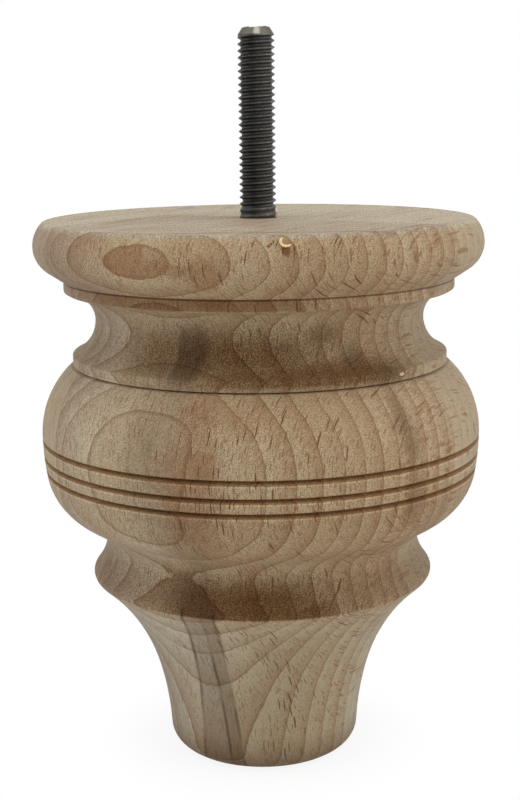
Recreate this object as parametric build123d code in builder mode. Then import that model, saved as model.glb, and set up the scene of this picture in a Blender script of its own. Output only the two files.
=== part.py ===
from build123d import *
from math import cos, hypot, radians, sin, sqrt
import os

os.makedirs("parts", exist_ok=True)

# Driving sizes, in mm. Radii step in and out from the head, and heights count down from the top.
leg_height = 120.65
head_diameter = 98.3

# Head: a bullnose, fuller above its widest line than below
top_edge_inset = 2.3
top_edge_height = 5.25
top_edge_rounding = 1.5
head_under_arc = 6.2
head_under_angle = 56
head_under_height = 7.5
head_overhang = 6.3

# Upper fillet, cove and lower fillet
upper_fillet_height = 2.2
cove_ledge = 0.7
cove_ledge_drop = 0.4
cove_depth = 6.7
cove_upper_height = 6.5
cove_lower_height = 7.5
cove_lip = 5.2
lower_fillet_height = 2.65
fillet_edge_rounding = 0.3

# Belly: it starts from a fine cut below the lower fillet and turns in at a shoulder
quirk_width = 0.5
quirk_depth = 0.7
belly_step = 0.45
belly_swell = 6.85
belly_upper_height = 15.05
shoulder_inset = 0.7
shoulder_height = 8.9
belly_under_depth = 6.2
belly_under_height = 9.45

# Three grooves around the belly, placed by the drop of each upper edge below the widest line
groove_drops = (0.35, 4.05, 7.15)
groove_width = 1.0
groove_depth = 1.0
groove_upper_rise = 0.3

# Neck and the bead below it
neck_depth = 6.4
neck_height = 7.65
neck_lean = 14
bead_height = 6.25
bead_projection = 3.6
bead_rounding = 1.4

# Taper and foot
taper_inset = 17.4
taper_start_angle = 3.1
taper_lower_share = 0.405
taper_lower_spread = 2.5
foot_rounding_inset = 3.65
foot_rounding_height = 4.3

# Hanger bolt: a stud above the wood, then a plain shank and a screw end inside it
stud_diameter = 7.94
stud_length = 40.5
stud_end_inset = 0.75
stud_end_height = 1.7
shank_diameter = 7.1
shank_length = 3.0
screw_diameter = 6.2
screw_length = 33.2
screw_point_length = 6.0

# Hole for the bolt: clear of the stud at its mouth, and a little deeper than the screw's point
mouth_clearance = 0.1
pilot_spare_depth = 1.5

# Radii
head_radius = head_diameter / 2
top_face_radius = head_radius - top_edge_inset
upper_fillet_radius = head_radius - head_overhang
cove_radius = upper_fillet_radius - cove_depth
lower_fillet_radius = cove_radius + cove_lip
belly_top_radius = lower_fillet_radius + belly_step
belly_radius = belly_top_radius + belly_swell
shoulder_radius = belly_radius - shoulder_inset
belly_end_radius = shoulder_radius - belly_under_depth
neck_radius = belly_end_radius - neck_depth
bead_radius = neck_radius + bead_projection
foot_radius = bead_radius - taper_inset
foot_face_radius = foot_radius - foot_rounding_inset
stud_radius = stud_diameter / 2
shank_radius = shank_diameter / 2
screw_radius = screw_diameter / 2
mouth_radius = stud_radius + mouth_clearance

# Heights above the foot face
head_z = leg_height - top_edge_height
upper_fillet_z = head_z - head_under_height
upper_fillet_end_z = upper_fillet_z - upper_fillet_height
cove_z = upper_fillet_end_z - cove_upper_height
lower_fillet_z = cove_z - cove_lower_height
belly_top_z = lower_fillet_z - lower_fillet_height
belly_z = belly_top_z - belly_upper_height
shoulder_z = belly_z - shoulder_height
belly_end_z = shoulder_z - belly_under_height
neck_z = belly_end_z - neck_height
bead_z = neck_z - bead_height
taper_middle_z = foot_rounding_height + taper_lower_share * (bead_z - foot_rounding_height)
stud_top_z = leg_height + stud_length
shank_end_z = leg_height - shank_length
screw_end_z = shank_end_z - screw_length
pilot_end_z = screw_end_z - pilot_spare_depth

# Corners and widest points of the outline
top_edge = (top_face_radius, leg_height)
head_side = (head_radius, head_z)
upper_fillet_start = (upper_fillet_radius, upper_fillet_z)
upper_fillet_end = (upper_fillet_radius, upper_fillet_end_z)
cove_start = (upper_fillet_radius - cove_ledge, upper_fillet_end_z - cove_ledge_drop)
cove_bottom = (cove_radius, cove_z)
lower_fillet_start = (lower_fillet_radius, lower_fillet_z)
quirk_start = (lower_fillet_radius, belly_top_z + quirk_width)
quirk_bottom = (lower_fillet_radius - quirk_depth, belly_top_z + quirk_width / 2)
belly_start = (belly_top_radius, belly_top_z)
belly_side = (belly_radius, belly_z)
shoulder_point = (shoulder_radius, shoulder_z)
belly_end = (belly_end_radius, belly_end_z)
neck_bottom = (neck_radius, neck_z)
bead_edge = (bead_radius, bead_z)
taper_middle = (foot_radius + taper_lower_spread, taper_middle_z)
foot_side = (foot_radius, foot_rounding_height)
foot_edge = (foot_face_radius, 0)

# The arc from the belly's widest line to its shoulder, which the grooves are cut into
shoulder_arc = (shoulder_height**2 + shoulder_inset**2) / (2 * shoulder_inset)
shoulder_centre_radius = belly_radius - shoulder_arc

# Directions along the outline
up = (0, 1)
down = (0, -1)
taper_up = (sin(radians(taper_start_angle)), cos(radians(taper_start_angle)))
taper_down = (-taper_up[0], -taper_up[1])
neck_down = (sin(radians(neck_lean)), -cos(radians(neck_lean)))


def corners_at(points):
    """The corners of the sketch being drawn that lie at the given points."""
    return [
        corner
        for corner in vertices()
        if any(hypot(corner.X - x, corner.Y - y) < 0.001 for x, y in points)
    ]


with BuildPart() as turned_leg:
    with BuildSketch(Plane.XZ):
        with BuildLine():
            Polyline((0, 0), (0, leg_height), top_edge)
            TangentArc(head_side, top_edge, tangent=up)
            head_under = JernArc(
                start=head_side, tangent=down, radius=head_under_arc, arc_size=-head_under_angle
            )
            TangentArc(head_under @ 1, upper_fillet_start, tangent=head_under % 1)
            Polyline(upper_fillet_start, upper_fillet_end, cove_start)
            TangentArc(cove_bottom, cove_start, tangent=up)
            TangentArc(cove_bottom, lower_fillet_start, tangent=down)
            Polyline(lower_fillet_start, quirk_start, quirk_bottom, belly_start)
            TangentArc(belly_side, belly_start, tangent=up)
            shoulder = TangentArc(belly_side, shoulder_point, tangent=down)
            belly_under = TangentArc(shoulder_point, belly_end, tangent=shoulder % 1)
            Spline(belly_end, neck_bottom, tangents=(belly_under % 1, neck_down))
            TangentArc(neck_bottom, bead_edge, tangent=neck_down)
            taper_lower = TangentArc(foot_side, taper_middle, tangent=taper_up)
            TangentArc(taper_middle, bead_edge, tangent=taper_lower % 1)
            TangentArc(foot_side, foot_edge, tangent=taper_down)
            Line(foot_edge, (0, 0))
        make_face()
        for drop in groove_drops:
            # The two walls start at the groove's bottom and run on as far again past the belly
            surface_radius = shoulder_centre_radius + sqrt(shoulder_arc**2 - drop**2)
            bottom_z = belly_z - drop - groove_upper_rise
            with BuildLine():
                Polyline(
                    (surface_radius - groove_depth, bottom_z),
                    (surface_radius + groove_depth, bottom_z + 2 * groove_upper_rise),
                    (surface_radius + groove_depth, bottom_z - 2 * (groove_width - groove_upper_rise)),
                    close=True,
                )
            make_face(mode=Mode.SUBTRACT)
        fillet(corners_at([upper_fillet_end, lower_fillet_start]), fillet_edge_rounding)
        fillet(corners_at([top_edge]), top_edge_rounding)
        fillet(corners_at([bead_edge]), bead_rounding)
    revolve(axis=Axis.Z)
    # The hole that the hanger bolt is driven into
    with BuildSketch(Plane.XZ):
        with BuildLine():
            Polyline(
                (0, leg_height),
                (mouth_radius, leg_height),
                (mouth_radius, shank_end_z),
                (screw_radius, shank_end_z),
                (screw_radius, pilot_end_z + screw_point_length),
                (0, pilot_end_z),
                close=True,
            )
        make_face()
    revolve(axis=Axis.Z, mode=Mode.SUBTRACT)
turned_leg.part.label = "turned_leg"
export_step(turned_leg.part, "parts/turned_leg.step")

with BuildPart() as hanger_bolt:
    with BuildSketch(Plane.XZ):
        with BuildLine():
            Polyline(
                (0, stud_top_z),
                (stud_radius - stud_end_inset, stud_top_z),
                (stud_radius, stud_top_z - stud_end_height),
                (stud_radius, leg_height),
                (shank_radius, leg_height),
                (shank_radius, shank_end_z),
                (screw_radius, shank_end_z),
                (screw_radius, screw_end_z + screw_point_length),
                (0, screw_end_z),
                close=True,
            )
        make_face()
    revolve(axis=Axis.Z)
hanger_bolt.part.label = "hanger_bolt"
export_step(hanger_bolt.part, "parts/hanger_bolt.step")
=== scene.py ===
import random
from math import atan2, cos, degrees, pi, radians, sin

import bmesh
import bpy
from mathutils import Matrix, Vector


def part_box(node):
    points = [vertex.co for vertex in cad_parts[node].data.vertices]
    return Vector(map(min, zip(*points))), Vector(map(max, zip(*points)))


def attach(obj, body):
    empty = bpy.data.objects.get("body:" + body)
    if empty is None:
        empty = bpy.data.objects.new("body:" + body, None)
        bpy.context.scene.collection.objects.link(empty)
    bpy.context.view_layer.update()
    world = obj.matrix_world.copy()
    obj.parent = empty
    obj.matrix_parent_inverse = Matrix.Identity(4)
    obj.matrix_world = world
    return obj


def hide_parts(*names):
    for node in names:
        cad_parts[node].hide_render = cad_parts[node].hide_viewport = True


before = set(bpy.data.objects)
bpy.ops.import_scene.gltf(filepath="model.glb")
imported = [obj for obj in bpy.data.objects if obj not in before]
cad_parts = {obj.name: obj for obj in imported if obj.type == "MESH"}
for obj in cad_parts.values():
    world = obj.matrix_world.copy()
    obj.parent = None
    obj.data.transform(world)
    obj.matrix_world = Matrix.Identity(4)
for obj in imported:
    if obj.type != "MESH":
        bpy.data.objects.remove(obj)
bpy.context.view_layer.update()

# Lengths below are in millimetres unless a name says metres, as in the CAD source.
MM = 0.001

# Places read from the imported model
_, leg_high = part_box("turned_leg")
bolt_low, bolt_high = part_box("hanger_bolt")
TOP = leg_high.z / MM
STUD_TOP = bolt_high.z / MM
BOLT_END = bolt_low.z / MM
STUD_RADIUS = bolt_high.x / MM
HEAD_RADIUS = leg_high.x / MM
ARRIS_HEIGHT = TOP - 78.9
ARRIS_RADIUS = HEAD_RADIUS - 10.2
GROOVE_HEIGHTS = (TOP - 47.5, TOP - 51.2, TOP - 54.3)

# Thread of the stud, 5/16 inch with 18 turns to the inch
STUD_PITCH = 25.4 / 18
STUD_THREAD_DEPTH = 0.45 * STUD_PITCH
STUD_END_INSET = 1.1
STUD_END_HEIGHT = 1.7
# Azimuth of the painted highlight on the bare end of the stud
HIGHLIGHT_AZIMUTH = 9.0
BURR_HEIGHT = 0.33
BURR_AZIMUTH = 42.0
BURR_HALF_ANGLE = 10.0
SHANK_LENGTH = 3.0
SHANK_RADIUS = 3.55
SCREW_RADIUS = 3.1
SCREW_CORE_RADIUS = 2.2
SCREW_PITCH = 2.8
SCREW_POINT_LENGTH = 6.0
SCREW_TIP_RADIUS = 0.35

# Growth of the wood. Depth is counted along GRAIN_ANGLE from the axis, side runs across it.
# Rings bow outwards on both sides of RING_BOW_SIDE and dip where the turning is narrow.
GRAIN_ANGLE = 32.5
OUTER_RING = 47.75
RING_SPACING = 3.97
RING_BOW = 0.0031
RING_BOW_SIDE = 14.0
RING_WANDER = 1.2
RING_SCALLOP = 0.55
BULGE_SCALLOP = 0.12
OTHER_BOARD_SHIFT = 0.43
# Dips and the bulge: a band of height, as middle, half width and soft edge, and the ring's shift
COVE_DIP = ((99.0, 4.5, 8.0), 2.6)
NECK_DIP = ((50.0, 2.0, 8.0), 1.3)
BELLY_BULGE = ((71.5, 3.0, 14.5), 3.2)
BELLY_BULGE_LEFT = (-24.0, 3.0)
BELLY_BULGE_RIGHT = (13.0, 25.0)
LEFT_JOINT = -24.2
LEFT_JOINT_BLUR = 0.1
STREAK_SHEETS = (4.4, 8.6, 11.2)
STREAK_LEAN = 0.37
STREAK_DRIFT_START = 26.0
STREAK_DRIFT = 0.115
SHEET_HALF = 0.05
SHEET_SOFT = 0.55
RIGHT_JOINT_ANGLE = 55.5
RIGHT_JOINT_BLUR = 0.2

# Light levels of the tent round the leg, and its two soft boxes with the angles where they fade
TOP_LEVEL = 1.9
LEFT_BOX_LEVEL = 2.15
RIGHT_BOX_LEVEL = 2.15
LOW_WALL_LEVEL = 0.65
BACK_WALL_LEVEL = 0.6
LEFT_BOX_AZIMUTH = -80
RIGHT_BOX_AZIMUTH = 74
BOX_ELEVATION = 34
LEFT_BOX_EDGE = (10, 45)
RIGHT_BOX_EDGE = (14, 50)
STRIP_LEVEL = 2.0

# Camera, as the photo was taken
CAMERA_DISTANCE = 317.27
CAMERA_HEIGHT = 143.51
CAMERA_PITCH = 11.346
CAMERA_YAW = -0.016
CAMERA_ROLL = -0.7135
PHOTO_LONG_SIDE = 800
FOCAL_PIXELS = 1441.1
SENSOR = 36.0


def tone(red, green, blue):
    """Linear colour of an sRGB colour given in steps of 0 to 255."""
    linear = []
    for step in (red, green, blue):
        share = step / 255
        linear.append(share / 12.92 if share <= 0.04045 else ((share + 0.055) / 1.055) ** 2.4)
    return (*linear, 1.0)


class Graph:
    """Short ways to add and join the nodes of one node tree."""

    def __init__(self, tree):
        self.tree = tree
        tree.nodes.clear()

    def node(self, kind, **settings):
        made = self.tree.nodes.new("ShaderNode" + kind)
        for name, value in settings.items():
            setattr(made, name, value)
        return made

    def feed(self, socket, value):
        if isinstance(value, bpy.types.NodeSocket):
            self.tree.links.new(value, socket)
        elif value is not None:
            socket.default_value = value

    def math(self, operation, *values, clamp=False):
        made = self.node("Math", operation=operation, use_clamp=clamp)
        for socket, value in zip(made.inputs, values):
            self.feed(socket, value)
        return made.outputs[0]

    def add(self, a, b):
        return self.math("ADD", a, b)

    def less(self, a, b):
        return self.math("SUBTRACT", a, b)

    def times(self, first, *others, clamp=False):
        """Product of all the terms."""
        result = first
        for other in others:
            result = self.math("MULTIPLY", result, other, clamp=clamp)
        return result

    def total(self, *terms):
        """Sum of pairs of a socket and its factor."""
        result = None
        for socket, factor in terms:
            part = self.times(socket, factor)
            result = part if result is None else self.add(result, part)
        return result

    def smooth(self, value, low, high, start=0.0, end=1.0):
        """Soft step of a value from start to end between low and high."""
        made = self.node("MapRange", interpolation_type="SMOOTHSTEP")
        names = ("Value", "From Min", "From Max", "To Min", "To Max")
        for name, given in zip(names, (value, low, high, start, end)):
            self.feed(made.inputs[name], given)
        return made.outputs[0]

    def band(self, value, middle, half, soft):
        """1 within half of the middle, fading to 0 over soft."""
        away = self.math("ABSOLUTE", self.less(value, middle))
        return self.smooth(away, half, half + soft, 1.0, 0.0)

    def vector(self, x, y, z):
        made = self.node("CombineXYZ")
        for socket, value in zip(made.inputs, (x, y, z)):
            self.feed(socket, value)
        return made.outputs[0]

    def noise(self, vector, detail=2.0, roughness=0.5):
        made = self.node("TexNoise")
        self.feed(made.inputs["Vector"], vector)
        made.inputs["Scale"].default_value = 1.0
        made.inputs["Detail"].default_value = detail
        made.inputs["Roughness"].default_value = roughness
        return made.outputs["Fac"]

    def stretched_noise(self, place, rates, detail=2.0, roughness=0.5):
        """Noise with its own rate of change per millimetre along each axis."""
        scaled = [self.times(value, rate) if rate else 0.0 for value, rate in zip(place, rates)]
        return self.noise(self.vector(*scaled), detail, roughness)

    def cells(self, vector):
        """Offset from the nearest cell point along each axis, and two random numbers of that cell."""
        made = self.node("TexVoronoi")
        self.feed(made.inputs["Vector"], vector)
        made.inputs["Scale"].default_value = 1.0
        away = self.node("VectorMath", operation="SUBTRACT")
        self.feed(away.inputs[0], vector)
        self.feed(away.inputs[1], made.outputs["Position"])
        offset = self.node("SeparateXYZ")
        self.feed(offset.inputs[0], away.outputs[0])
        parts = self.node("SeparateColor")
        self.feed(parts.inputs[0], made.outputs["Color"])
        return offset.outputs, parts.outputs[0], parts.outputs[1]

    def chance(self, number):
        """A random number for each whole number."""
        made = self.node("TexWhiteNoise", noise_dimensions="1D")
        self.feed(made.inputs["W"], number)
        return made.outputs["Value"]

    def mix_value(self, share, a, b):
        """Number between a and b at the given share."""
        made = self.node("MapRange")
        for name, given in zip(("Value", "To Min", "To Max"), (share, a, b)):
            self.feed(made.inputs[name], given)
        return made.outputs[0]

    def mix(self, share, a, b, blend="MIX"):
        made = self.node("Mix", data_type="RGBA", blend_type=blend)
        self.feed(made.inputs[0], share)
        self.feed(made.inputs[6], a)
        self.feed(made.inputs[7], b)
        return made.outputs[2]

    def place(self):
        """x, y and z of the shaded point in the row frame, in millimetres."""
        parts = self.node("SeparateXYZ")
        self.feed(parts.inputs[0], self.node("TexCoord").outputs["Object"])
        return [self.times(socket, 1 / MM) for socket in parts.outputs]

    def azimuth(self, x, y):
        """Degrees from the front towards the right."""
        return self.times(self.math("ARCTAN2", x, self.times(y, -1.0)), degrees(1.0))

    def radius(self, x, y):
        return self.math("SQRT", self.add(self.times(x, x), self.times(y, y)))

    def shade(self, share, color, factor):
        """The colour multiplied by a factor, at the given share."""
        return self.mix(share, color, factor, "MULTIPLY")

    def bump(self, height, millimetres):
        made = self.node("Bump")
        made.inputs["Strength"].default_value = 1.0
        made.inputs["Distance"].default_value = millimetres * MM
        self.feed(made.inputs["Height"], height)
        return made.outputs[0]


def new_material(name):
    material = bpy.data.materials.new(name)
    material.use_nodes = True
    return material, Graph(material.node_tree)


def finish_material(g, color, roughness, normal=None, metallic=0.0, specular=0.5):
    shader = g.node("BsdfPrincipled")
    g.feed(shader.inputs["Base Color"], color)
    g.feed(shader.inputs["Roughness"], roughness)
    g.feed(shader.inputs["Metallic"], metallic)
    g.feed(shader.inputs["Specular IOR Level"], specular)
    g.feed(shader.inputs["Normal"], normal)
    output = g.node("OutputMaterial")
    g.feed(output.inputs["Surface"], shader.outputs[0])


# Wood colours
WOOD_PALE = tone(166, 149, 121)
WOOD_MIDDLE = tone(156, 135, 106)
WOOD_LATE = tone(132, 102, 72)
RING_LINE = tone(104, 74, 46)
OTHER_BOARD = tone(168, 150, 118)
RAY_DARK = tone(84, 50, 24)
RAY_RED = tone(120, 82, 52)
STREAK = tone(92, 70, 48)
STREAK_LINE = tone(74, 56, 38)
STAIN_RED = tone(128, 92, 60)
STAIN_DARK = tone(100, 60, 32)
GREY_STAIN = tone(88, 68, 42)
SMUDGE = tone(120, 112, 118)
PINK = tone(232, 206, 190)

# Factors on the colour of the wood where a place is darker, lighter or cooler than the rest
TAPER_SHADE = (1.0, 1.1, 1.2, 1.0)
# Painted sheen on the top face, cooler as a grazing reflection of the white tent would make it
TOP_PAINTED_SHEEN = (1.0, 1.15, 1.43, 1.0)
# Painted sheen on the left front, cooler as light from the left would make it
LEFT_FRONT_PAINTED_SHEEN = (1.06, 1.14, 1.26, 1.0)
# Painted shade on the far sides of the leg
FAR_SIDE_PAINTED_SHADE = (0.86, 0.9, 1.0, 1.0)
# Painted shade on the left of the head
HEAD_LEFT_PAINTED_SHADE = (0.86, 0.83, 0.87, 1.0)
# Painted shade on the under side of the belly
UNDER_BELLY_PAINTED_SHADE = (0.88, 0.84, 0.8, 1.0)
SPECK_SHADES = ((0.7, 0.67, 0.6, 1.0), (1.26, 1.28, 1.32, 1.0))
ROUGH_CUT_SHADES = ((0.72, 0.68, 0.62, 1.0), (1.3, 1.3, 1.3, 1.0))
SAWN_SPECK_SHADES = ((0.74, 0.72, 0.68, 1.0), (1.2, 1.2, 1.2, 1.0))
# Painted shade in the cove and in the neck above the bead
COVE_PAINTED_SHADE = (0.4, 0.31, 0.22, 1.0)
NECK_PAINTED_SHADE = (0.34, 0.24, 0.15, 1.0)
# Painted shade in the upper fillet under the overhang of the head
FILLET_PAINTED_SHADE = (0.58, 0.46, 0.36, 1.0)
# Painted shadow line in the corner under the head
HEAD_CORNER_PAINTED_SHADE = (0.45, 0.36, 0.28, 1.0)
# Painted shade in the grooves and a painted highlight on the lip below each
GROOVE_PAINTED_SHADE = (0.72, 0.55, 0.4, 1.0)
GROOVE_LIP_PAINTED_HIGHLIGHT = (1.25, 1.25, 1.25, 1.0)
# Painted shade towards the foot and on its bottom edge, near the floor
FOOT_PAINTED_SHADE = (0.62, 0.55, 0.5, 1.0)
FOOT_EDGE_PAINTED_SHADE = (0.4, 0.36, 0.32, 1.0)

# Stains on the turned wood: azimuth from the front to the right, height, half width, half height
RED_CLOUDS = ((-11.5, 86.6, 5.6, 2.7), (-4.0, 84.6, 4.0, 2.6), (-17.0, 85.6, 3.2, 2.6))
HEAD_CLOUDS = ((-24.0, 114.4, 2.4, 1.7), (-19.0, 114.0, 2.4, 1.4), (-12.5, 113.6, 3.6, 3.3),
               (-13.0, 107.2, 4.0, 1.4))
BELLY_BROWN = ((-16.0, 71.0, 6.0, 14.0),)
BELLY_GREY = ((-30.0, 74.0, 3.6, 14.0),)
GREY_CLOUDS = ((21.0, 100.0, 4.2, 2.2), (30.0, 95.2, 2.8, 2.4), (39.0, 90.8, 5.0, 1.9),
               (37.0, 84.0, 2.4, 4.0), (39.0, 78.0, 2.6, 4.0), (40.0, 66.5, 2.8, 5.0))
NICKS = ((6.1, 117.8, 0.8, 0.9), (7.9, 118.2, 0.2, 0.9), (5.3, 117.9, 0.2, 0.8),
         (2.2, 118.7, 0.3, 0.3), (2.8, 119.1, 0.3, 0.3), (3.4, 119.5, 0.25, 0.25))
PINK_CHIP = ((44.1, 90.8, 0.8, 0.3),)
# The half width of the red block is in degrees
RED_BLOCK = (-13.8, 76.4, 2.9, 2.2)

# Groups of stains: places, colour, strength and softness of the edge
LOWER_STAINS = ((RED_CLOUDS, STAIN_RED, 0.34, 0.6), (HEAD_CLOUDS, STAIN_RED, 0.5, 0.4),
                (BELLY_BROWN, STAIN_DARK, 0.38, 0.6), (BELLY_GREY, GREY_STAIN, 0.3, 0.6))
UPPER_STAINS = ((GREY_CLOUDS, GREY_STAIN, 0.5, 0.7), (NICKS, STAIN_DARK, 0.85, 0.4),
                (PINK_CHIP, PINK, 1.0, 0.3))
RED_BLOCK_STRENGTH = 0.4

# Heights on the wood between which a shade comes in, from none to full
TOP_FACE = (TOP - 1.3, TOP - 0.05)
HEAD = (104.0, 106.0)
HEAD_LEFT = (104.0, 107.0)
BELOW_HEAD = (106.0, 100.0)
COVE_ROOF = (104.5, 96.5)
COVE_FLOOR = (88.0, 95.0)
COVE_FOOT_ROOF = (98.0, 92.5)
COVE_FOOT_FLOOR = (89.0, 91.0)
NECK_ROOF = (53.0, 45.0)
NECK_FOOT_ROOF = (47.0, 43.0)
ABOVE_BEAD_EDGE = (ARRIS_HEIGHT - 0.6, ARRIS_HEIGHT)
TAPER = (ARRIS_HEIGHT, ARRIS_HEIGHT - 4.0)
FOOT = (10.0, 1.0)
FOOT_EDGE = (1.0, 0.3)

# Bands of height, as the middle, the half width and the soft edge
UNDER_BELLY_BAND = (60.0, 4.0, 5.0)
UPPER_FILLET_BAND = (TOP - 13.8, 1.1, 0.3)
LOWER_FILLET_BAND = (TOP - 30.3, 1.2, 0.2)
HEAD_CORNER_BAND = (TOP - 12.8, 0.12, 0.15)
GROOVE_HALF = 0.55
GROOVE_SOFT = 0.12
GROOVE_LIP_DROP = 0.8
GROOVE_LIP_HALF = 0.1

# Bands of azimuth, as the middle, the half width and the soft edge
LEFT_FRONT_SECTOR = (-42.0, 14.0, 14.0)
COVE_SECTOR = (-13.0, 12.0, 34.0)
COVE_FOOT_SECTOR = (14.0, 20.0, 28.0)
NECK_SECTOR = (-8.0, 11.0, 27.0)
NECK_FOOT_SECTOR = (4.0, 12.0, 18.0)
FILLET_SECTOR = (-20.0, 20.0, 22.0)
FLAME_SECTOR = (44.0, 8.0, 14.0)

# Rays: the room of a plate, its half size in depth, side and height, and the share of rooms filled
BIG_RAYS = ((14.0, 0.9, 3.3), (6.0, 0.12, 1.6), 0.55)
SMALL_RAYS = ((7.0, 0.4, 1.3), (3.0, 0.12, 0.7), 0.6)

# Lines of the saw on the top face run along this direction
SAW_X = 0.46
SAW_Y = 0.89

WOOD_SPECULAR = 0.12
WOOD_ROUGHNESS = 0.58
WOOD_RELIEF = 0.09


class Grain:
    """Where the shaded point lies in the log and on the turning, and the noises of the wood."""

    def __init__(self, g):
        x, y, z = g.place()
        self.x, self.y, self.z = x, y, z
        angle = radians(GRAIN_ANGLE)
        self.depth = g.total((x, -sin(angle)), (y, -cos(angle)))
        self.side = g.total((x, cos(angle)), (y, -sin(angle)))
        self.log = (self.depth, self.side, z)
        self.azimuth = g.azimuth(x, y)
        self.radius = g.radius(x, y)
        self.on_top = g.smooth(z, *TOP_FACE)
        self.off_top = g.less(1.0, self.on_top)

        # The boards that the blank was glued from
        left_board = g.smooth(self.side, LEFT_JOINT + LEFT_JOINT_BLUR, LEFT_JOINT - LEFT_JOINT_BLUR)
        joint_angle = radians(RIGHT_JOINT_ANGLE)
        past_joint = g.total((x, cos(joint_angle)), (y, sin(joint_angle)))
        right_board = g.smooth(past_joint, -RIGHT_JOINT_BLUR, RIGHT_JOINT_BLUR)
        self.other_board = g.math("MAXIMUM", left_board, right_board)

        # Long fibres, fine pores and specks, which are calmer on the taper and the other boards
        self.fibre = g.stretched_noise(self.log, (1.3, 1.6, 0.07), 3.0, 0.6)
        self.pores = g.stretched_noise(self.log, (4.0, 4.0, 1.6), 2.0, 0.7)
        self.flecks = g.stretched_noise((x, y, z), (4.6, 4.6, 4.6), 1.0, 0.6)
        lively = g.math("MINIMUM", g.smooth(z, *TAPER, 1.0, 0.55),
                        g.smooth(self.other_board, 0.0, 1.0, 1.0, 0.5))
        self.lively = g.times(lively, g.smooth(self.on_top, 0.0, 1.0, 1.0, 0.9))


def growth_rings(g, grain):
    """Share of the dark late wood, the thin line where each ring ends, and 1 outside the outermost
    ring line and outside the next one."""
    wander = g.stretched_noise(grain.log, (0.02, 0.05, 0.035), 1.0)
    scallop = g.stretched_noise(grain.log, (0.12, 0.45, 0.18), 3.0, 0.6)
    off = g.less(grain.side, RING_BOW_SIDE)
    cove_band, cove_drop = COVE_DIP
    neck_band, neck_drop = NECK_DIP
    belly_band, bulge_height = BELLY_BULGE
    bulge = g.times(g.smooth(grain.side, *BELLY_BULGE_LEFT),
                    g.smooth(grain.side, *BELLY_BULGE_RIGHT, 1.0, 0.0), g.band(grain.z, *belly_band))
    scallop_depth = g.mix_value(bulge, RING_SCALLOP, BULGE_SCALLOP)
    drift = g.total((g.times(off, off), RING_BOW), (g.band(grain.z, *cove_band), -cove_drop),
                    (g.band(grain.z, *neck_band), -neck_drop), (bulge, bulge_height),
                    (g.less(0.5, wander), RING_WANDER), (g.less(0.5, scallop), scallop_depth))
    rings = g.times(g.less(g.add(drift, OUTER_RING), grain.depth), 1 / RING_SPACING)
    rings = g.add(rings, g.times(grain.other_board, OTHER_BOARD_SHIFT))
    share = g.math("FRACT", rings)
    ring_chance = g.chance(g.math("FLOOR", rings))
    edge = g.smooth(share, 0.985, 1.0, 1.0, 0.0)
    late = g.times(g.math("POWER", share, 1.5), edge, g.total((ring_chance, 0.5), (0.5, 1.0)))
    line = g.times(g.smooth(share, 0.9, 0.975), edge)
    clear = g.smooth(grain.other_board, 0.0, 1.0, 1.0, 0.3)
    outermost = g.smooth(rings, 0.02, -0.02)
    second = g.smooth(rings, 1.02, 0.98)
    return g.times(late, clear), g.times(line, clear), outermost, second


def ray_plates(g, grain, cell, half, common):
    """Cut ends of the rays, thin upright plates that run out from the heart of the tree.
    One plate may stand in each cell."""
    stir = g.stretched_noise(grain.log, (0.3, 0.3, 0.35), 1.0)
    side = g.add(grain.side, g.times(g.less(stir, 0.5), 0.35))
    place = (grain.depth, side, grain.z)
    scaled = g.vector(*[g.times(value, 1 / room) for value, room in zip(place, cell)])
    offset, chance_a, chance_b = g.cells(scaled)
    thin = g.total((chance_b, 0.7), (0.5, 1.0))
    away_in = g.times(offset[0], cell[0] / half[0])
    away_across = g.math("DIVIDE", g.times(offset[1], cell[1] / half[1]), thin)
    away_up = g.math("DIVIDE", g.times(offset[2], cell[2] / half[2]), thin)
    away = g.total((away_in, away_in), (away_across, away_across), (away_up, away_up))
    crowd = g.stretched_noise(grain.log, (0.06, 0.14, 0.09), 1.0)
    there = g.math("LESS_THAN", chance_a, g.smooth(crowd, 0.35, 0.65, 0.6 * common, 1.4 * common))
    return g.times(g.smooth(away, 1.2, 0.5), there, g.total((chance_b, 0.6), (0.4, 1.0)))


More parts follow.
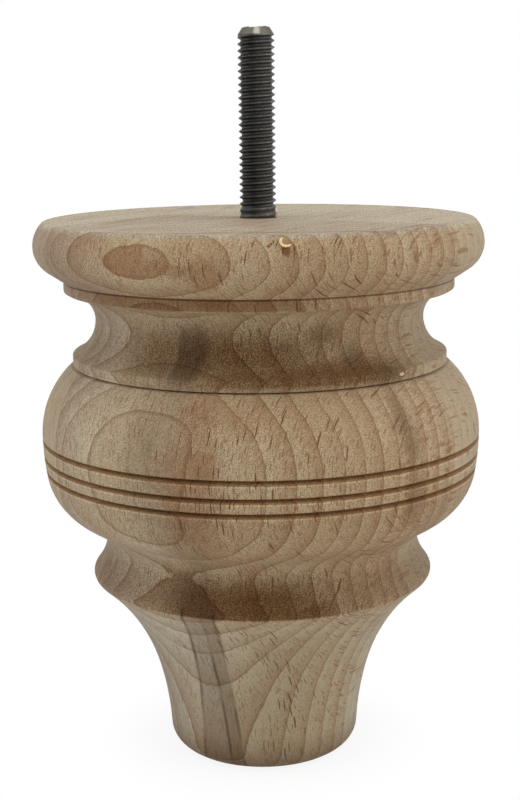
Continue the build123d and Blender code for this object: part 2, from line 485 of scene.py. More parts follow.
def mineral_streak(g, grain):
    """A grey-brown streak through the front of the leg, and the thin dark sheets inside it.
    Below the bead it leans with the taper, and its right part drifts further right."""
    z = grain.z
    wobble = g.stretched_noise((0.0, grain.side, z), (0.0, 0.1, 0.07), 3.0, 0.6)
    taper = g.times(g.less(ARRIS_RADIUS, grain.radius), g.smooth(z, ARRIS_HEIGHT, ARRIS_HEIGHT - 1.5))
    place = g.total((grain.side, 1.0), (taper, STREAK_LEAN), (g.less(wobble, 0.5), 1.2))
    drift = g.times(g.math("MAXIMUM", g.less(STREAK_DRIFT_START, z), 0.0), -STREAK_DRIFT)
    drifted = g.add(place, drift)
    low, middle, high = STREAK_SHEETS
    in_cove = g.times(g.smooth(z, 89.0, 93.0), g.smooth(z, 104.0, 99.0))
    on_taper = g.smooth(z, ARRIS_HEIGHT + 2.0, ARRIS_HEIGHT)

    spread = g.mix_value(g.math("MAXIMUM", on_taper, in_cove), 2.6, 1.1)
    inside = g.smooth(place, g.less(low, spread), g.add(g.times(spread, 0.6), low))
    end = g.mix_value(in_cove, high + 1.0, middle + 2.6)
    inside = g.times(inside, g.smooth(drifted, end, g.less(end, g.times(spread, 1.8))))
    inner = g.mix_value(on_taper, 1.0, g.smooth(drifted, middle - 0.6, middle + 0.6, 0.75, 1.0))
    depth_of_tint = g.mix_value(in_cove, g.mix_value(on_taper, 0.25, 0.5), 0.62)
    tint = g.times(inside, inner, depth_of_tint)

    faded = g.stretched_noise((0.0, grain.side, z), (0.0, 0.4, 0.12), 2.0)
    strength = g.math("MAXIMUM", g.times(on_taper, 0.8), g.times(in_cove, 0.35))
    strength = g.times(g.math("MAXIMUM", strength, 0.08), g.smooth(faded, 0.35, 0.65, 0.3, 1.0))
    line = g.band(place, low, SHEET_HALF, SHEET_SOFT)
    for sheet in (middle, high):
        line = g.math("MAXIMUM", line, g.band(drifted, sheet, SHEET_HALF, SHEET_SOFT))
    ends = g.smooth(z, 101.0, 104.0, 1.0, 0.1)
    return g.times(tint, ends), g.times(line, strength, ends)


def ring_color(g, grain, late, line, outermost, second):
    """Plain wood with its growth rings, the oval on the head and the joint of the left board."""
    cloud = g.stretched_noise(grain.log, (0.04, 0.07, 0.03), 2.0)
    color = g.mix(g.smooth(cloud, 0.3, 0.7), WOOD_PALE, WOOD_MIDDLE)
    color = g.mix(g.times(grain.other_board, 0.7), color, OTHER_BOARD)
    on_head = g.smooth(grain.z, *HEAD)
    faint = g.times(second, g.less(1.0, on_head))
    color = g.mix(g.times(late, g.mix_value(faint, 0.8, 0.36)), color, WOOD_LATE)
    color = g.mix(g.times(line, g.mix_value(faint, 0.45, 0.52)), color, RING_LINE)
    oval = g.times(outermost, g.smooth(grain.azimuth, -26.6, -27.2, 0.15, 0.6), on_head)
    color = g.mix(oval, color, STAIN_RED)
    joint_line = g.band(grain.side, LEFT_JOINT, 0.08, 0.12)
    color = g.mix(g.times(joint_line, 0.4), color, RING_LINE)
    return g.mix(g.smooth(grain.fibre, 0.42, 0.75, 0.0, 0.35), color, WOOD_LATE)


def shift_tones(g, grain, color):
    """The taper is a little greyer, the top and the left front get a painted cool sheen, and the far sides
    and the left of the head get painted shade.
    """
    color = g.shade(g.smooth(grain.z, *TAPER), color, TAPER_SHADE)
    # Painted sheen on the top and the left front, painted shade on the far sides and the left of the head
    color = g.shade(grain.on_top, color, TOP_PAINTED_SHEEN)
    left_front = g.times(g.band(grain.azimuth, *LEFT_FRONT_SECTOR), g.smooth(grain.z, *BELOW_HEAD))
    color = g.shade(left_front, color, LEFT_FRONT_PAINTED_SHEEN)
    far_side = g.smooth(g.math("ABSOLUTE", grain.azimuth), 40.0, 70.0)
    color = g.shade(g.times(far_side, grain.off_top), color, FAR_SIDE_PAINTED_SHADE)
    head_left = g.times(g.smooth(grain.azimuth, -32.0, -46.0), g.smooth(grain.z, *HEAD_LEFT))
    return g.shade(g.times(head_left, grain.off_top), color, HEAD_LEFT_PAINTED_SHADE)


def add_pores_and_streak(g, grain, color):
    pores = g.times(g.smooth(grain.pores, 0.5, 0.78, 0.0, 0.6), grain.lively)
    color = g.mix(pores, color, RAY_DARK)
    tint, line = mineral_streak(g, grain)
    front_half = g.smooth(grain.depth, -5.0, 15.0)
    color = g.mix(g.times(tint, front_half), color, STREAK)
    return g.mix(g.times(line, front_half), color, STREAK_LINE)


def add_stains(g, grain, color):
    """Stains with ragged edges, and painted shade on the under side of the belly."""
    ragged = g.stretched_noise((grain.azimuth, 0.0, grain.z), (0.35, 0.0, 0.4), 4.0, 0.7)
    wobble = g.total((g.less(ragged, 0.5), 1.6), (g.less(grain.flecks, 0.5), 1.4))

    def stained(color, groups):
        for places, stain, strength, soft in groups:
            for at, height, half_width, half_height in places:
                across = g.times(g.less(grain.azimuth, at), radians(1.0) * HEAD_RADIUS / half_width)
                up = g.times(g.less(grain.z, height), 1 / half_height)
                away = g.add(g.radius(across, up), g.times(wobble, soft))
                inside = g.smooth(away, 1.0 + soft, 1.0 - soft)
                color = g.mix(g.times(inside, strength), color, stain)
        return color

    color = stained(color, LOWER_STAINS)
    # Painted shade on the under side of the belly
    under = g.times(g.band(grain.z, *UNDER_BELLY_BAND), g.smooth(grain.azimuth, -34.0, -18.0))
    color = g.shade(under, color, UNDER_BELLY_PAINTED_SHADE)
    block_at, block_z, block_wide, block_high = RED_BLOCK
    block = g.times(g.band(grain.azimuth, block_at, block_wide, 0.5),
                    g.band(grain.z, block_z, block_high, 0.3))
    color = g.mix(g.times(block, RED_BLOCK_STRENGTH), color, STAIN_RED)
    return stained(color, UPPER_STAINS)


def add_specks(g, grain, color):
    return g.shade(grain.lively, color, g.mix(g.smooth(grain.flecks, 0.3, 0.7), *SPECK_SHADES))


def paint_shade_in_hollows(g, grain, color):
    """Painted shade in the cove and the neck, which are also rough from the turning tool. Also gives their
    share.
    """
    z, azimuth = grain.z, grain.azimuth
    cove = g.times(g.smooth(z, *COVE_ROOF), g.smooth(z, *COVE_FLOOR),
                   g.smooth(g.band(azimuth, *COVE_SECTOR), 0.0, 1.0, 0.3, 1.0))
    cove_foot = g.times(g.smooth(z, *COVE_FOOT_ROOF), g.smooth(z, *COVE_FOOT_FLOOR),
                        g.band(azimuth, *COVE_FOOT_SECTOR))
    cove = g.math("MAXIMUM", cove, cove_foot)
    above_edge = g.smooth(z, *ABOVE_BEAD_EDGE)
    neck = g.times(g.smooth(z, *NECK_ROOF), above_edge,
                   g.smooth(g.band(azimuth, *NECK_SECTOR), 0.0, 1.0, 0.45, 1.0))
    neck_foot = g.times(g.smooth(z, *NECK_FOOT_ROOF), above_edge, g.band(azimuth, *NECK_FOOT_SECTOR))
    neck = g.math("MAXIMUM", neck, neck_foot)
    shaded_hollow = g.math("MAXIMUM", cove, neck)
    # Painted shade in the cove and the neck
    color = g.shade(g.times(cove, 0.95), color, COVE_PAINTED_SHADE)
    color = g.shade(neck, color, NECK_PAINTED_SHADE)
    rough_cut = g.mix(g.smooth(grain.flecks, 0.35, 0.65), *ROUGH_CUT_SHADES)
    return g.shade(shaded_hollow, color, rough_cut), shaded_hollow


def mark_edges(g, grain, color):
    """Fillets, grooves and the foot: painted shade in the upper fillet, in the corner under the head, in
    the grooves and towards the foot, a painted highlight on the lip below each groove, and scored strokes
    on the fillets.
    """
    scores = g.stretched_noise((grain.azimuth, 0.0, grain.z), (1.3, 0.0, 0.25), 2.0, 0.6)
    scored = g.smooth(scores, 0.5, 0.7)
    fillet = g.band(grain.z, *UPPER_FILLET_BAND)
    lower_fillet = g.band(grain.z, *LOWER_FILLET_BAND)
    # Painted shade in the upper fillet under the head
    color = g.shade(g.times(fillet, g.band(grain.azimuth, *FILLET_SECTOR)), color, FILLET_PAINTED_SHADE)
    color = g.mix(g.times(fillet, scored, 0.6), color, STAIN_RED)
    color = g.mix(g.times(lower_fillet, scored, 0.15), color, RAY_DARK)
    # Painted shadow line in the corner under the head
    color = g.shade(g.band(grain.z, *HEAD_CORNER_BAND), color, HEAD_CORNER_PAINTED_SHADE)
    # Painted shade in each groove and a painted highlight on the lip below it
    for height in GROOVE_HEIGHTS:
        groove = g.band(grain.z, height, GROOVE_HALF, GROOVE_SOFT)
        lip = g.band(grain.z, height - GROOVE_LIP_DROP, GROOVE_LIP_HALF, GROOVE_SOFT)
        color = g.shade(groove, color, GROOVE_PAINTED_SHADE)
        color = g.shade(lip, color, GROOVE_LIP_PAINTED_HIGHLIGHT)
    # Painted shade towards the foot and on its bottom edge
    color = g.shade(g.smooth(grain.z, *FOOT), color, FOOT_PAINTED_SHADE)
    return g.shade(g.smooth(grain.z, *FOOT_EDGE), color, FOOT_EDGE_PAINTED_SHADE)


def mark_sawn_top(g, grain, color):
    """Lines of the saw and coarse specks on the top face."""
    across = g.total((grain.x, SAW_Y), (grain.y, -SAW_X))
    along = g.total((grain.x, SAW_X), (grain.y, SAW_Y))
    saw = g.stretched_noise((across, along, 0.0), (0.5, 0.035, 0.0), 3.0, 0.6)
    color = g.mix(g.times(grain.on_top, g.smooth(saw, 0.5, 0.75, 0.0, 0.6)), color, RING_LINE)
    specks = g.stretched_noise((grain.x, grain.y, 0.0), (2.4, 0.5, 0.0), 2.0, 0.7)
    speckled = g.mix(g.smooth(specks, 0.32, 0.68), *SAWN_SPECK_SHADES)
    return g.shade(grain.on_top, color, speckled)


def add_rays(g, grain, color, shaded_hollow):
    """Dark ray plates, and their flame figure near the right joint. Also gives the plates."""
    off_joint = g.math("ABSOLUTE", g.less(grain.azimuth, RIGHT_JOINT_ANGLE))
    clear_of_joint = g.times(g.smooth(off_joint, 8.0, 26.0, 0.25, 1.0),
                             g.smooth(grain.side, -5.0, 18.0, 0.45, 1.0))
    big = g.times(ray_plates(g, grain, *BIG_RAYS), grain.off_top, clear_of_joint)
    small = g.times(ray_plates(g, grain, *SMALL_RAYS), grain.off_top)
    color = g.mix(g.times(small, 0.7), color, g.mix(shaded_hollow, RAY_RED, RAY_DARK))
    color = g.mix(g.times(big, 0.85), color, RAY_DARK)
    flame = g.stretched_noise(grain.log, (0.2, 0.6, 1.5), 2.0)
    flame = g.times(g.smooth(flame, 0.52, 0.68, 0.0, 0.35), g.band(grain.azimuth, *FLAME_SECTOR),
                    g.smooth(grain.z, ARRIS_HEIGHT, ARRIS_HEIGHT + 4.0, 0.3, 1.0), grain.off_top)
    return g.mix(flame, color, RAY_RED), big, small


def mark_top(g, grain, color):
    """Grey smudges behind the stud, and a wavy line near the front edge."""
    smudge_noise = g.stretched_noise((grain.x, grain.y, 0.0), (0.25, 0.1, 0.0), 3.0)
    smudge = g.times(g.band(grain.x, -22.0, 14.0, 6.0), g.smooth(grain.y, 22.0, 34.0), grain.on_top,
                     g.smooth(smudge_noise, 0.48, 0.6))
    color = g.mix(g.times(smudge, 0.6), color, SMUDGE)
    wave = g.stretched_noise((grain.x, 0.0, 0.0), (0.12, 0.0, 0.0), 2.0)
    edge_line = g.band(g.add(grain.y, g.times(g.less(wave, 0.5), 3.0)), -40.5, 0.5, 1.0)
    edge_line = g.times(edge_line, grain.on_top, g.band(grain.x, 8.0, 24.0, 12.0))
    return g.mix(g.times(edge_line, 0.4), color, RAY_DARK)


def wood_material():
    """Turned beech: rings first, then tones with painted sheen and shade, stains, painted shade in the
    hollows, and the rays on top of them.
    """
    material, g = new_material("turned_wood")
    grain = Grain(g)
    late, line, outermost, second = growth_rings(g, grain)
    color = ring_color(g, grain, late, line, outermost, second)
    color = shift_tones(g, grain, color)
    color = add_pores_and_streak(g, grain, color)
    color = add_stains(g, grain, color)
    color = add_specks(g, grain, color)
    color, shaded_hollow = paint_shade_in_hollows(g, grain, color)
    color = mark_edges(g, grain, color)
    color = mark_sawn_top(g, grain, color)
    color, big_rays, small_rays = add_rays(g, grain, color, shaded_hollow)
    color = mark_top(g, grain, color)

    turning_marks = g.stretched_noise((0.0, 0.0, grain.z), (0.0, 0.0, 2.6), 2.0)
    relief = g.total((grain.fibre, 0.5), (grain.pores, -0.5), (big_rays, -0.8), (small_rays, -0.3),
                     (grain.flecks, 0.6), (turning_marks, 0.5))
    roughness = g.total((grain.pores, 0.12), (late, -0.05), (WOOD_ROUGHNESS, 1.0))
    finish_material(g, color, roughness, g.bump(relief, WOOD_RELIEF), specular=WOOD_SPECULAR)
    return material


# Steel colours, and the heights, radii and azimuths of the bare end, the crests with wear and a painted
# highlight, the side with a painted reflection, and the painted highlight on the end
STEEL_FILMS = (tone(24, 24, 26), tone(34, 33, 30))
# Colour of the painted reflection on the right side of the stud
STEEL_PAINTED_REFLECTION = tone(66, 65, 61)
# Wear on the crests together with a painted highlight, lighter and more metallic
STEEL_WORN_AND_HIGHLIGHT = tone(130, 126, 118)
STEEL_BARE = tone(92, 88, 80)
# Colour of the painted highlight on the bare end
STEEL_PAINTED_HIGHLIGHT = tone(160, 157, 147)
STEEL_SPECULAR = 0.4
STEEL_ROUGHNESS = 0.3
STEEL_RELIEF = 0.02
BARE_END = (STUD_TOP - STUD_END_HEIGHT - 0.05, STUD_TOP - STUD_END_HEIGHT + 0.15)
CREST = (STUD_RADIUS - 0.16, STUD_RADIUS - 0.02)
# Azimuths where the painted reflection on the right side comes in and goes
REFLECTION_SIDE_FROM = (-25.0, 20.0)
REFLECTION_SIDE_TO = (120.0, 75.0)
# Half width and soft edge of the painted highlight on the bare end, in degrees
HIGHLIGHT_HALF = 3.0
HIGHLIGHT_SOFT = 13.0


def steel_material():
    """Blackened steel, with wear and a painted highlight on the crests, a painted reflection on its right
    side, and bare on the cut end with a painted highlight at its front.
    """
    material, g = new_material("blackened_steel")
    x, y, z = g.place()
    azimuth = g.azimuth(x, y)
    patches = g.stretched_noise((x, y, z), (0.9, 0.9, 0.9))
    rub = g.stretched_noise((x, y, z), (1.2, 1.2, 0.8), 3.0)
    film = g.stretched_noise((x, y, z), (0.5, 0.5, 0.16), 3.0)
    grit = g.stretched_noise((x, y, z), (6.0, 6.0, 6.0))

    color = g.mix(g.smooth(film, 0.35, 0.65), *STEEL_FILMS)
    # Painted reflection on the right side of the stud
    reflection_side = g.times(g.smooth(azimuth, *REFLECTION_SIDE_FROM), g.smooth(azimuth, *REFLECTION_SIDE_TO))
    color = g.mix(g.times(reflection_side, 0.55), color, STEEL_PAINTED_REFLECTION)
    # Crests with wear and a painted highlight, stronger on the side with the painted reflection
    worn_and_highlight = g.times(g.smooth(g.radius(x, y), *CREST), g.smooth(rub, 0.35, 0.65, 0.3, 1.0),
                   g.mix_value(reflection_side, 0.45, 1.3))
    color = g.mix(g.times(worn_and_highlight, 0.5, clamp=True), color, STEEL_WORN_AND_HIGHLIGHT)
    bare = g.smooth(g.add(z, g.times(g.less(patches, 0.5), 0.5)), *BARE_END)
    # Painted highlight at the front of the bare end
    end_highlight = g.band(g.add(azimuth, g.times(patches, 14.0)), HIGHLIGHT_AZIMUTH, HIGHLIGHT_HALF, HIGHLIGHT_SOFT)
    color = g.mix(bare, color, g.mix(end_highlight, STEEL_BARE, STEEL_PAINTED_HIGHLIGHT))
    roughness = g.total((grit, 0.14), (film, 0.15), (STEEL_ROUGHNESS, 1.0))
    metal = g.math("MAXIMUM", bare, g.smooth(worn_and_highlight, 0.0, 1.0, 0.2, 0.7))
    finish_material(g, color, roughness, g.bump(grit, STEEL_RELIEF), metal, STEEL_SPECULAR)
    return material


TORN_SPECULAR = 0.4
TORN_RELIEF = 0.04


def splinter_material(name, pale, dark):
    """Torn, unstained wood with fibres along the piece."""
    material, g = new_material(name)
    streaks = g.stretched_noise(g.place(), (3.0, 3.0, 1.0), 3.0)
    color = g.mix(g.smooth(streaks, 0.4, 0.7), pale, dark)
    roughness = g.smooth(streaks, 0.2, 0.8, 0.45, 0.65)
    finish_material(g, color, roughness, g.bump(streaks, TORN_RELIEF), specular=TORN_SPECULAR)
    return material


def new_piece(name, bm, material):
    mesh = bpy.data.meshes.new(name)
    bm.to_mesh(mesh)
    bm.free()
    mesh.materials.append(material)
    piece = bpy.data.objects.new(name, mesh)
    bpy.context.scene.collection.objects.link(piece)
    return piece


def limited(value):
    return min(1.0, max(0.0, value))


# Mesh of the bolt: columns round it, and the rows of one turn as shares of its pitch
COLUMNS = 56
# The stud's thread has a root, a flank, a crest and a flank
ROOT_END = 0.26
CREST_START = 0.56
CREST_END = 0.7
STUD_ROWS = (0.0, ROOT_END, 0.41, CREST_START, CREST_END, 0.85)
SCREW_CREST = 0.5
SCREW_CREST_HALF = 0.24
SCREW_ROWS = (0.0, 0.26, 0.38, SCREW_CREST, 0.62, 0.74)
SCREW_THREAD_START = 1.6
THREAD_FOOT_DEPTH = 0.3
THREAD_FOOT_TURNS = 1.2
THREAD_END_HEIGHT = 0.35
SHANK_SEAT = 0.01
SHANK_NECK = 0.3
MERGE_DISTANCE = 0.002
SHARP_ANGLE = 32


def ring_point(radius, column, z):
    a = 2 * pi * column / COLUMNS
    return (radius * cos(a) * MM, radius * sin(a) * MM, z * MM)


def add_zone(bm, bottom, top, pitch, shares, radius_at):
    """Adds one helical stretch of a turned part to the mesh and returns its first and last ring.
    Its rows follow the thread, and are stopped at bottom and top."""
    rows = []
    for turn in range(int((top - bottom) / pitch) + 3):
        for share in shares:
            row = []
            for column in range(COLUMNS):
                z = bottom + pitch * (turn - 1 + share + column / COLUMNS)
                z = min(max(z, bottom), top)
                along = (z - bottom) / pitch - column / COLUMNS
                row.append(bm.verts.new(ring_point(radius_at(z, along % 1.0), column, z)))
            rows.append(row)
    for index in range(len(rows) - 1):
        for column in range(COLUMNS):
            # The last column meets the first one a turn further on
            last = column + 1 == COLUMNS
            after = 0 if last else column + 1
            shift = len(shares) if last else 0
            if index + 1 + shift < len(rows):
                bm.faces.new((rows[index][column], rows[index + shift][after],
                              rows[index + 1 + shift][after], rows[index + 1][column]))
    return rows[0], rows[-1]


def join_rings(bm, lower, upper):
    for column in range(len(lower)):
        after = (column + 1) % len(lower)
        bm.faces.new((lower[column], lower[after], upper[after], upper[column]))


def thread_height(share):
    """Height of the stud's thread, from 0 at the root to 1 at the crest."""
    if share < ROOT_END:
        return 0.0
    if share < CREST_START:
        return (share - ROOT_END) / (CREST_START - ROOT_END)
    if share < CREST_END:
        return 1.0
    return (1.0 - share) / (1.0 - CREST_END)


def stud_radius(z, share):
    """The thread starts shallow at the wood and runs out under the chamfered end."""
    fading = limited((z - TOP) / STUD_PITCH - THREAD_FOOT_TURNS)
    ending = limited((STUD_TOP - STUD_END_HEIGHT - z) / THREAD_END_HEIGHT)
    depth = STUD_THREAD_DEPTH * (THREAD_FOOT_DEPTH + (1.0 - THREAD_FOOT_DEPTH) * fading) * ending
    r = STUD_RADIUS - depth * (1.0 - thread_height(share))
    chamfer = STUD_RADIUS - STUD_END_INSET * max(0.0, 1.0 - (STUD_TOP - z) / STUD_END_HEIGHT)
    return min(r, chamfer)


def screw_radius(z, share):
    """A slim core with a sharp crest, both narrowing towards the point."""
    narrowing = min(1.0, (z - BOLT_END) / SCREW_POINT_LENGTH)
    core = SCREW_TIP_RADIUS + (SCREW_CORE_RADIUS - SCREW_TIP_RADIUS) * narrowing
    thread = (SCREW_RADIUS - SCREW_CORE_RADIUS) * min(1.0, SCREW_THREAD_START * narrowing)
    return core + thread * max(0.0, 1.0 - abs(share - SCREW_CREST) / SCREW_CREST_HALF)


def lower_rim_beside_burr(bm):
    """The rim of the stud's end lies lower than its burr all the way round."""
    for vert in bm.verts:
        if vert.co.z > (STUD_TOP - 0.05) * MM:
            azimuth = degrees(atan2(vert.co.x, -vert.co.y))
            off_burr = limited((abs(azimuth - BURR_AZIMUTH) - BURR_HALF_ANGLE) / BURR_HALF_ANGLE)
            vert.co.z -= BURR_HEIGHT * off_burr * MM


def build_bolt(material):
    """The hanger bolt with its machine thread, plain shank and coarse wood thread."""
    shank_bottom = TOP - SHANK_LENGTH
    bm = bmesh.new()
    _, screw_top = add_zone(bm, BOLT_END, shank_bottom, SCREW_PITCH, SCREW_ROWS, screw_radius)
    shank = []
    for height in (shank_bottom, shank_bottom + SHANK_SEAT, TOP - SHANK_NECK):
        ring = [ring_point(SHANK_RADIUS, column, height) for column in range(COLUMNS)]
        shank.append([bm.verts.new(point) for point in ring])
    stud_foot, _ = add_zone(bm, TOP, STUD_TOP, STUD_PITCH, STUD_ROWS, stud_radius)
    stack = [screw_top, *shank, stud_foot]
    for lower, upper in zip(stack, stack[1:]):
        join_rings(bm, lower, upper)
    bmesh.ops.remove_doubles(bm, verts=bm.verts, dist=MERGE_DISTANCE * MM)
    bmesh.ops.dissolve_degenerate(bm, edges=bm.edges, dist=MERGE_DISTANCE * MM / 2)
    lower_rim_beside_burr(bm)
    bmesh.ops.holes_fill(bm, edges=[e for e in bm.edges if e.is_boundary], sides=0)
    bmesh.ops.recalc_face_normals(bm, faces=bm.faces)
    piece = new_piece("threaded_bolt", bm, material)
    piece.data.polygons.foreach_set("use_smooth", [True] * len(piece.data.polygons))
    piece.data.set_sharp_from_angle(angle=radians(SHARP_ANGLE))
    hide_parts("hanger_bolt")
    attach(piece, "root")


def add_sliver(bm, points, width, thickness, flat_along):
    """A bent strip along a row of points: flat_along is the direction of its width."""
    rings = []
    last = len(points) - 1
    for index, point in enumerate(points):
        forward = (points[min(last, index + 1)] - points[max(0, index - 1)]).normalized()
        out = forward.cross(flat_along).normalized()
        across = out.cross(forward).normalized()
        swell = 0.35 + 0.65 * sin(pi * (0.12 + 0.8 * index / last))
        w = across * width * swell / 2
        t = out * thickness * swell / 2
        rings.append([bm.verts.new((point + offset) * MM) for offset in (w + t, w - t, -w - t, -w + t)])
    for lower, upper in zip(rings, rings[1:]):
        join_rings(bm, lower, upper)
    bm.faces.new(rings[0][::-1])
    bm.faces.new(rings[-1])


def on_leg(azimuth_degrees, radius, height):
    a = radians(azimuth_degrees)
    return Vector((radius * sin(a), -radius * cos(a), height))


# The curl of torn wood: its place on the leg, and its path to the right, upwards and outwards
SPLINTER_AZIMUTH = 6.1
SPLINTER_RADIUS = 48.0
SPLINTER_HEIGHT = 119.3
SPLINTER_PATH = ((1.05, -0.35, -0.1), (0.35, -0.6, 0.2), (-0.4, -0.6, 0.4), (-0.95, -0.2, 0.5),
                 (-1.15, 0.35, 0.5), (-0.95, 0.8, 0.45), (-0.5, 1.0, 0.35))
SPLINTER_WIDTH = 1.3
SPLINTER_THICKNESS = 0.6


def build_splinter():
    """The curl of torn wood at the front of the top edge."""
    at = on_leg(SPLINTER_AZIMUTH, SPLINTER_RADIUS, SPLINTER_HEIGHT)
    out = on_leg(SPLINTER_AZIMUTH, 1.0, 0.0)
    right = Vector((-out.y, out.x, 0.0))
    up = Vector((0.0, 0.0, 1.0))
    bm = bmesh.new()
    points = [at + right * a + up * b + out * c for a, b, c in SPLINTER_PATH]
    add_sliver(bm, points, SPLINTER_WIDTH, SPLINTER_THICKNESS, out)
    bmesh.ops.recalc_face_normals(bm, faces=bm.faces)
    material = splinter_material("torn_wood", tone(226, 200, 146), tone(190, 152, 98))
    piece = new_piece("splinter", bm, material)
    smooth = piece.modifiers.new("rounded", "SUBSURF")
    smooth.levels = smooth.render_levels = 2
    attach(piece, "root")


SHAVING_FOOT = (STUD_RADIUS + 0.05, -1.0, TOP + 0.15)
SHAVING_PATH = ((0.0, 0.0, 0.0), (0.2, -0.1, 0.6), (0.15, -0.2, 1.2), (-0.1, -0.2, 1.7),
                (-0.05, -0.1, 2.2))
SHAVING_WIDTH = 0.5
SHAVING_THICKNESS = 0.15


def build_shaving():
    """A small pale shaving against the foot of the stud."""
    bm = bmesh.new()
    points = [Vector(SHAVING_FOOT) + Vector(p) for p in SHAVING_PATH]
    add_sliver(bm, points, SHAVING_WIDTH, SHAVING_THICKNESS, Vector((1.0, 0.3, 0.0)))
    bmesh.ops.recalc_face_normals(bm, faces=bm.faces)
    material = splinter_material("shaving_wood", tone(228, 214, 196), tone(196, 172, 146))
    piece = new_piece("shaving", bm, material)
    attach(piece, "root")


TORN_FIBRES = 80
TORN_SECTOR = 48
TORN_SEED = 7
TORN_THICKNESS = 0.06
TORN_INSET = 0.35


def build_torn_fibres():
    """Short torn fibres along the sharp edge of the bead."""
    dice = random.Random(TORN_SEED)
    bm = bmesh.new()
    for _ in range(TORN_FIBRES):
        azimuth = dice.uniform(-TORN_SECTOR, TORN_SECTOR)
        start = on_leg(azimuth, ARRIS_RADIUS - TORN_INSET, ARRIS_HEIGHT + dice.uniform(-0.25, 0.1))
        out = on_leg(azimuth, 1.0, 0.0)
        side = Vector((-out.y, out.x, 0.0)) * dice.uniform(-0.5, 0.5)
        length = dice.uniform(0.35, 0.7)
        direction = (out * 0.35 + side + Vector((0.0, 0.0, -1.0))).normalized()
        points = [start + direction * length * share for share in (0.0, 0.5, 1.0)]
        add_sliver(bm, points, dice.uniform(0.08, 0.16), TORN_THICKNESS, side + Vector((0.0, 0.0, 0.3)))
    bmesh.ops.recalc_face_normals(bm, faces=bm.faces)
    material = splinter_material("torn_edge", tone(160, 134, 100), tone(120, 92, 62))
    piece = new_piece("torn_fibres", bm, material)
    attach(piece, "root")


def looked_at(g, glossy):
    """1 where the camera, glass or, in the given share, a shiny surface looks at this background."""
    path = g.node("LightPath")
    direct = g.math("MAXIMUM", path.outputs["Is Camera Ray"], path.outputs["Is Transmission Ray"])
    return g.math("MAXIMUM", direct, g.times(path.outputs["Is Glossy Ray"], glossy))


FLOOR_SIZE_METRES = 8.0
FLOOR_DROP = 0.02
FLOOR_GREYS = ((0.80, 0.80, 0.80, 1.0), (0.82, 0.82, 0.82, 1.0))
SHADOW_RADIUS = (20.0, 42.0)
WHITE_NEAR_FOOT = 0.88
WHITE = (1.0, 1.0, 1.0, 1.0)


def build_floor():
    """A pale floor that is pure white away from the leg, and shows its soft shadow near the foot."""
    bpy.ops.mesh.primitive_plane_add(size=FLOOR_SIZE_METRES, location=(0.0, 0.0, -FLOOR_DROP * MM))
    floor = bpy.context.object
    floor.name = "floor"
    material, g = new_material("white_floor")
    x, y, _ = g.place()
    speckle = g.stretched_noise((x, y, 0.0), (0.3, 0.3, 0.0))
    paper = g.node("BsdfDiffuse")
    g.feed(paper.inputs["Color"], g.mix(speckle, *FLOOR_GREYS))
    white = g.node("Emission")
    white.inputs["Strength"].default_value = 1.0
    white_share = g.smooth(g.radius(x, y), *SHADOW_RADIUS, WHITE_NEAR_FOOT, 1.0)
    both = g.node("MixShader")
    g.feed(both.inputs[0], g.times(white_share, looked_at(g, 1.0)))
    g.feed(both.inputs[1], paper.outputs[0])
    g.feed(both.inputs[2], white.outputs[0])
    g.feed(g.node("OutputMaterial").inputs["Surface"], both.outputs[0])
    floor.data.materials.append(material)


def soft_box(g, direction, azimuth, edge):
    """1 towards a soft box, fading to 0 between two angles off its middle."""
    inner, outer = edge
    flat = cos(radians(BOX_ELEVATION))
    height = sin(radians(BOX_ELEVATION))
    middle = (flat * sin(radians(azimuth)), -flat * cos(radians(azimuth)), height)
    facing = g.total(*zip(direction, middle))
    return g.smooth(facing, cos(radians(outer)), cos(radians(inner)))


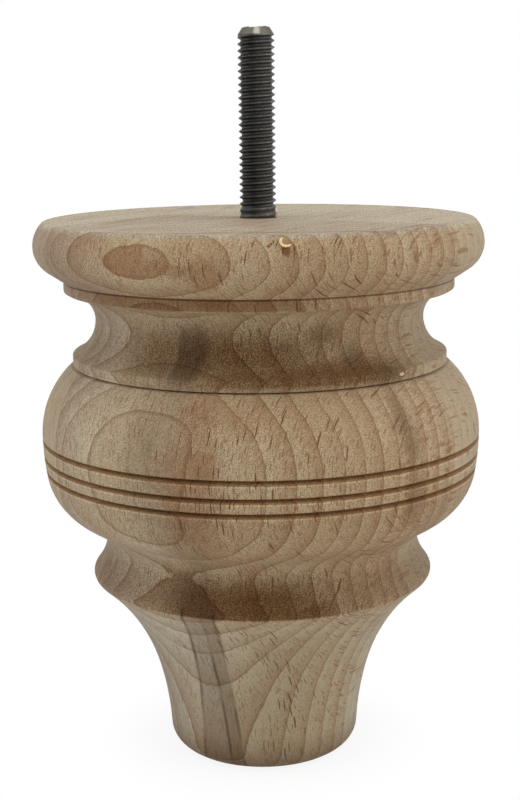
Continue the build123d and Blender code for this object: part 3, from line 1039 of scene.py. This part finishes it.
def build_light():
    """A light tent: a lamp sheet overhead, a soft box on each side, low walls with a slightly
    darker back, and a dark front with one bright strip. The background itself is white."""
    world = bpy.data.worlds.new("light_tent")
    bpy.context.scene.world = world
    world.use_nodes = True
    g = Graph(world.node_tree)
    parts = g.node("SeparateXYZ")
    g.feed(parts.inputs[0], g.node("TexCoord").outputs["Generated"])
    x, y, z = parts.outputs
    above = g.smooth(z, 0.77, 0.91)
    left = soft_box(g, (x, y, z), LEFT_BOX_AZIMUTH, LEFT_BOX_EDGE)
    right = soft_box(g, (x, y, z), RIGHT_BOX_AZIMUTH, RIGHT_BOX_EDGE)
    strip = g.times(g.band(x, 0.08, 0.06, 0.1), g.smooth(y, -0.2, -0.35), g.band(z, 0.15, 0.35, 0.3))
    low = g.smooth(z, 0.5, 0.25)
    walls = g.times(g.smooth(y, -0.65, -0.05), low)
    back = g.times(g.smooth(y, 0.35, 0.8), low)
    tent = g.node("Background")
    tent.inputs["Color"].default_value = WHITE
    level = g.total((above, TOP_LEVEL), (left, LEFT_BOX_LEVEL), (right, RIGHT_BOX_LEVEL),
                    (walls, LOW_WALL_LEVEL), (back, BACK_WALL_LEVEL - LOW_WALL_LEVEL), (strip, STRIP_LEVEL))
    g.feed(tent.inputs["Strength"], level)
    white = g.node("Background")
    white.inputs["Color"].default_value = WHITE
    behind = g.smooth(y, 0.0, 0.4)
    both = g.node("MixShader")
    g.feed(both.inputs[0], looked_at(g, behind))
    g.feed(both.inputs[1], tent.outputs[0])
    g.feed(both.inputs[2], white.outputs[0])
    g.feed(g.node("OutputWorld").inputs["Surface"], both.outputs[0])


def build_camera():
    data = bpy.data.cameras.new("camera")
    data.sensor_width = SENSOR
    data.lens = FOCAL_PIXELS * SENSOR / PHOTO_LONG_SIDE
    camera = bpy.data.objects.new("camera", data)
    bpy.context.scene.collection.objects.link(camera)
    camera.matrix_world = (Matrix.Translation((0.0, -CAMERA_DISTANCE * MM, CAMERA_HEIGHT * MM))
                           @ Matrix.Rotation(-radians(CAMERA_YAW), 4, "Z")
                           @ Matrix.Rotation(radians(90 - CAMERA_PITCH), 4, "X")
                           @ Matrix.Rotation(radians(CAMERA_ROLL), 4, "Z"))
    bpy.context.scene.camera = camera
    bpy.context.scene.view_settings.view_transform = "Standard"


wood = wood_material()
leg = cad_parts["turned_leg"]
leg.data.materials.clear()
leg.data.materials.append(wood)
build_bolt(steel_material())
build_splinter()
build_shaving()
build_torn_fibres()
build_floor()
build_light()
build_camera()
